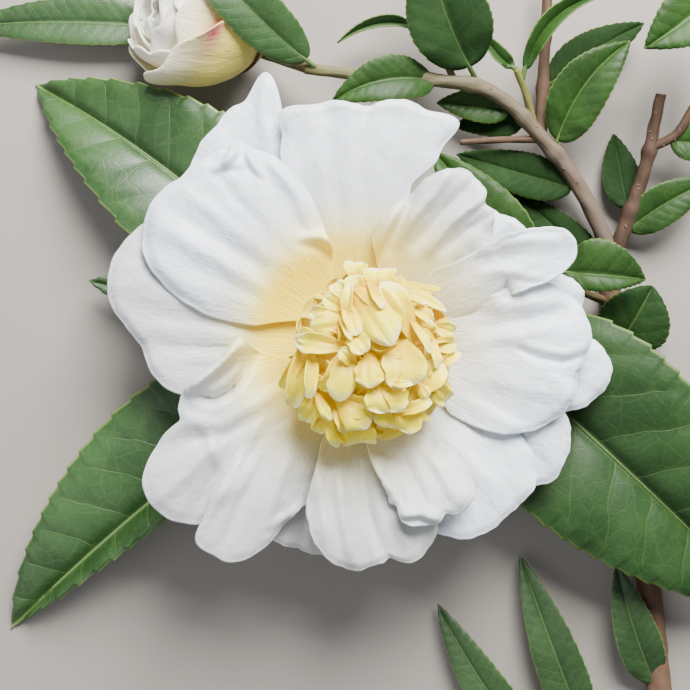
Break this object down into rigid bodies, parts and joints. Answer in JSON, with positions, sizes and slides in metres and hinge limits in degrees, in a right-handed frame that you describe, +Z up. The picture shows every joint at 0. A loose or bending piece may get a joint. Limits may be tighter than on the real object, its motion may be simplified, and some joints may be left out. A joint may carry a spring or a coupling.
{
  "type": "cut camellia branch in bloom",
  "caption": "Cut leafy camellia branch with a large open white flower around a domed pale-yellow middle, lying face up, with a half-open flower and a forked woody stem.",
  "frame": {"origin": "middle of the footprint, on the table the branch lies on", "axes": "+Z up out of the open flower, +Y towards the forked twigs, +X towards the largest leaf"},
  "size_m": [0.1696, 0.1718, 0.0421],
  "materials": {
    "petal": "soft satin white",
    "cupped_petal": "soft satin cream with a pink streak",
    "petaloid": "soft satin pale yellow",
    "receptacle": "matte deep yellow",
    "calyx": "matte green scales",
    "leaf": "glossy dark green",
    "leaf_young": "glossy mid green",
    "bark": "matte grey-brown bark"
  },
  "bodies": {
    "root": {"petal_top": "petal", "petal_top_back": "petal", "petal_upper_left": "petal", "petal_left": "petal", "petal_lower_left": "petal", "petal_bottom_left": "petal", "petal_bottom_back": "petal", "petal_bottom": "petal", "petal_front": "petal", "petal_lower_right": "petal", "petal_right_low_back": "petal", "petal_right": "petal", "petal_right_back": "petal", "petal_right_mid_back": "petal", "petal_upper_right": "petal", "petal_upper_right_back": "petal", "petal_upper_ruffled": "petal", "stem_main": "bark", "stem_bloom_shoot": "bark", "stem_left_fork": "bark", "stem_right_fork": "bark", "stem_side_twig": "bark", "stem_back_twig": "bark", "stem_bud_twig": "bark", "stem_bare_twig": "bark", "stem_leaf_twig": "bark", "stem_cupped_shoot": "bark", "stem_short_twig": "bark", "stem_low_twig": "bark", "leaf_upper_left": "leaf", "leaf_lower_left": "leaf", "leaf_left": "leaf", "leaf_right": "leaf", "leaf_fork_long": "leaf_young", "leaf_fork_dark": "leaf", "leaf_under_fork": "leaf", "leaf_node_light": "leaf_young", "leaf_node_dark": "leaf", "leaf_edge_on": "leaf", "leaf_inner_light": "leaf_young", "leaf_inner_dark": "leaf", "leaf_fork_tall": "leaf_young", "leaf_behind_fork": "leaf", "leaf_bud_long": "leaf_young", "leaf_bud_short": "leaf_young", "leaf_corner": "leaf_young", "leaf_right_fork": "leaf_young", "leaf_serrated_short": "leaf_young", "leaf_under_right": "leaf", "leaf_behind_right": "leaf", "leaf_twig_light": "leaf_young", "leaf_low_first": "leaf", "leaf_low_second": "leaf", "leaf_low_third": "leaf", "leaf_cupped_bloom": "leaf", "leaf_far_left": "leaf", "calyx": "calyx", "receptacle": "receptacle", "petaloid_dome": "petaloid", "cupped_bloom": "cupped_petal"}
  },
  "joints": []
}
